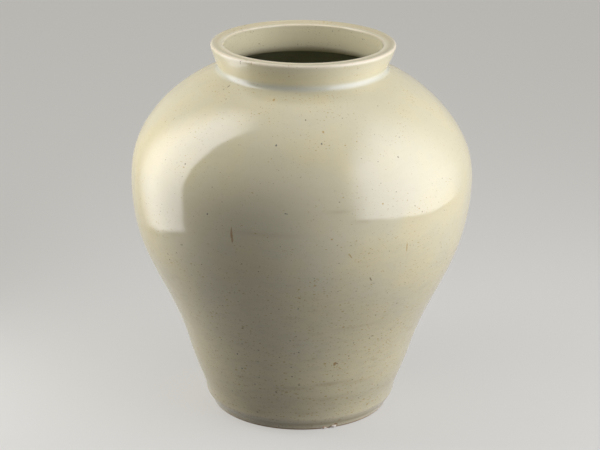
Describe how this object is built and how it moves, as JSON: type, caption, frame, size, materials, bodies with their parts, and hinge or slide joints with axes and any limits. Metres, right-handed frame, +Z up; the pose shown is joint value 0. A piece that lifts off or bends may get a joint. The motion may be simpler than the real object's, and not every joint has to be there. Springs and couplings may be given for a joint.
{
  "type": "storage jar",
  "caption": "Large white porcelain storage jar with a high round shoulder, a short flared collar with a thick flat lip, and a narrow foot ring.",
  "frame": {"origin": "centre of the foot ring's resting face", "axes": "+Z up along the jar's axis of turning, towards the mouth; the jar has no front, so X and Y are arbitrary"},
  "size_m": [0.3178, 0.3178, 0.35],
  "materials": {
    "glaze": "glossy ivory-white glaze with small ochre specks",
    "foot_biscuit": "matt fired clay, rust-tinged where it rested in the kiln"
  },
  "bodies": {
    "root": {"foot_ring": "foot_biscuit", "lower_body": "glaze", "upper_body": "glaze", "neck_collar": "glaze"}
  },
  "joints": []
}
